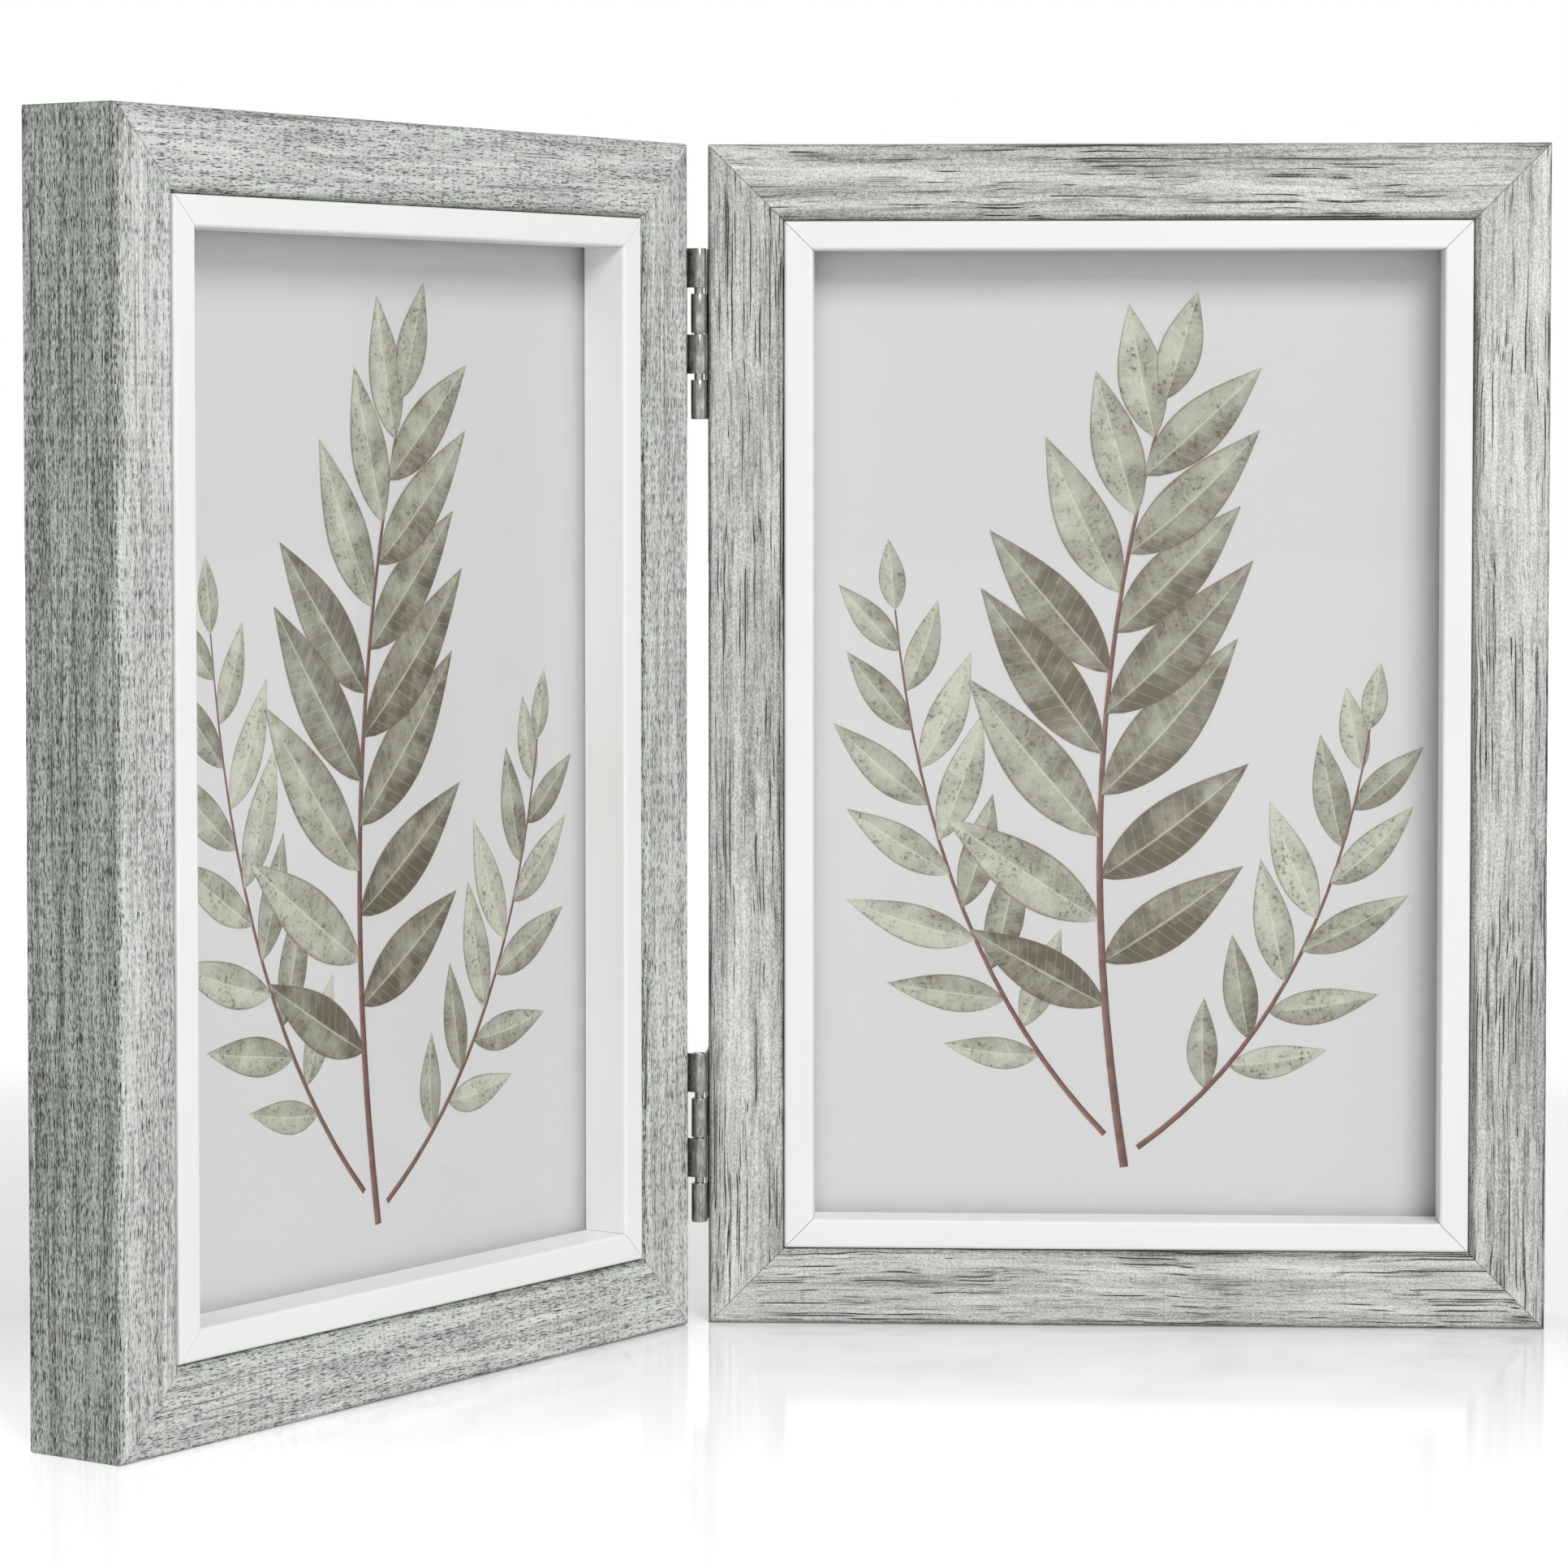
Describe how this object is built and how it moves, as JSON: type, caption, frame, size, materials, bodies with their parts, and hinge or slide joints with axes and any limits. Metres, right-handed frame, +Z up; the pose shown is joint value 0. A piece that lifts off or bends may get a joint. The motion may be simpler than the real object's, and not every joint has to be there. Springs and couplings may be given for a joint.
{
  "type": "double photo frame",
  "caption": "Hinged double photo frame that stands open like a book: grey wood-grain mitred frames with white inner slips, glass, backing boards and turn buttons.",
  "frame": {"origin": "middle of the object's box at rest, on the surface that it stands on", "axes": "+X to the viewer's right along the right frame, +Y away from the viewer through the right frame, +Z up"},
  "size_m": [0.2104, 0.1276, 0.178],
  "materials": {
    "grey_wood": "weathered pale grey wood grain with charcoal pores, matt",
    "white_slip": "smooth white satin paint",
    "glass": "clear float glass",
    "print": "pale grey insert card with a plain botanical print, satin",
    "filler": "plain corrugated card",
    "board": "brown hardboard, matt",
    "hinge_steel": "bright nickel plate with fine drawing marks",
    "button_steel": "zinc plated sheet steel",
    "screw_steel": "zinc plated steel"
  },
  "bodies": {
    "right_frame": {"right_bottom_rail": "grey_wood", "right_bottom_slip": "white_slip", "right_top_rail": "grey_wood", "right_top_slip": "white_slip", "right_hinge_stile": "grey_wood", "right_hinge_slip": "white_slip", "right_outer_stile": "grey_wood", "right_outer_slip": "white_slip", "right_glass": "glass", "right_print": "print", "right_filler_card": "filler", "right_backing_board": "board", "right_hinge_upper_button_screw": "screw_steel", "right_hinge_lower_button_screw": "screw_steel", "right_outer_upper_button_screw": "screw_steel", "right_outer_lower_button_screw": "screw_steel", "upper_hinge_right_leaf": "hinge_steel", "upper_hinge_right_top_screw": "screw_steel", "upper_hinge_right_bottom_screw": "screw_steel", "lower_hinge_right_leaf": "hinge_steel", "lower_hinge_right_top_screw": "screw_steel", "lower_hinge_right_bottom_screw": "screw_steel", "upper_hinge_pin": "hinge_steel", "lower_hinge_pin": "hinge_steel"},
    "left_frame": {"left_bottom_rail": "grey_wood", "left_bottom_slip": "white_slip", "left_top_rail": "grey_wood", "left_top_slip": "white_slip", "left_hinge_stile": "grey_wood", "left_hinge_slip": "white_slip", "left_outer_stile": "grey_wood", "left_outer_slip": "white_slip", "left_glass": "glass", "left_print": "print", "left_filler_card": "filler", "left_backing_board": "board", "left_hinge_upper_button_screw": "screw_steel", "left_hinge_lower_button_screw": "screw_steel", "left_outer_upper_button_screw": "screw_steel", "left_outer_lower_button_screw": "screw_steel", "upper_hinge_left_leaf": "hinge_steel", "upper_hinge_left_top_screw": "screw_steel", "upper_hinge_left_bottom_screw": "screw_steel", "lower_hinge_left_leaf": "hinge_steel", "lower_hinge_left_top_screw": "screw_steel", "lower_hinge_left_bottom_screw": "screw_steel"},
    "right_hinge_upper_button": {"right_hinge_upper_button": "button_steel"},
    "right_hinge_lower_button": {"right_hinge_lower_button": "button_steel"},
    "right_outer_upper_button": {"right_outer_upper_button": "button_steel"},
    "right_outer_lower_button": {"right_outer_lower_button": "button_steel"},
    "left_hinge_upper_button": {"left_hinge_upper_button": "button_steel"},
    "left_hinge_lower_button": {"left_hinge_lower_button": "button_steel"},
    "left_outer_upper_button": {"left_outer_upper_button": "button_steel"},
    "left_outer_lower_button": {"left_outer_lower_button": "button_steel"}
  },
  "joints": [
    {"name": "fold", "type": "hinge", "parent": "right_frame", "child": "left_frame", "pos_m": [-0.02215, 0.04306, 0.089], "axis": [0, 0, 1], "range_deg": [-62, 122]},
    {"name": "right_hinge_upper_button_turn", "type": "hinge", "parent": "right_frame", "child": "right_hinge_upper_button", "pos_m": [-0.01515, 0.06087, 0.129], "axis": [0, 1, 0], "continuous": true},
    {"name": "right_hinge_lower_button_turn", "type": "hinge", "parent": "right_frame", "child": "right_hinge_lower_button", "pos_m": [-0.01515, 0.06087, 0.049], "axis": [0, 1, 0], "continuous": true},
    {"name": "right_outer_upper_button_turn", "type": "hinge", "parent": "right_frame", "child": "right_outer_upper_button", "pos_m": [0.09945, 0.06087, 0.129], "axis": [0, 1, 0], "continuous": true},
    {"name": "right_outer_lower_button_turn", "type": "hinge", "parent": "right_frame", "child": "right_outer_lower_button", "pos_m": [0.09945, 0.06087, 0.049], "axis": [0, 1, 0], "continuous": true},
    {"name": "left_hinge_upper_button_turn", "type": "hinge", "parent": "left_frame", "child": "left_hinge_upper_button", "pos_m": [-0.04093, 0.04666, 0.129], "axis": [-0.8453, 0.5344, 0], "continuous": true},
    {"name": "left_hinge_lower_button_turn", "type": "hinge", "parent": "left_frame", "child": "left_hinge_lower_button", "pos_m": [-0.04093, 0.04666, 0.049], "axis": [-0.8453, 0.5344, 0], "continuous": true},
    {"name": "left_outer_upper_button_turn", "type": "hinge", "parent": "left_frame", "child": "left_outer_upper_button", "pos_m": [-0.10217, -0.05021, 0.129], "axis": [-0.8453, 0.5344, 0], "continuous": true},
    {"name": "left_outer_lower_button_turn", "type": "hinge", "parent": "left_frame", "child": "left_outer_lower_button", "pos_m": [-0.10217, -0.05021, 0.049], "axis": [-0.8453, 0.5344, 0], "continuous": true}
  ]
}
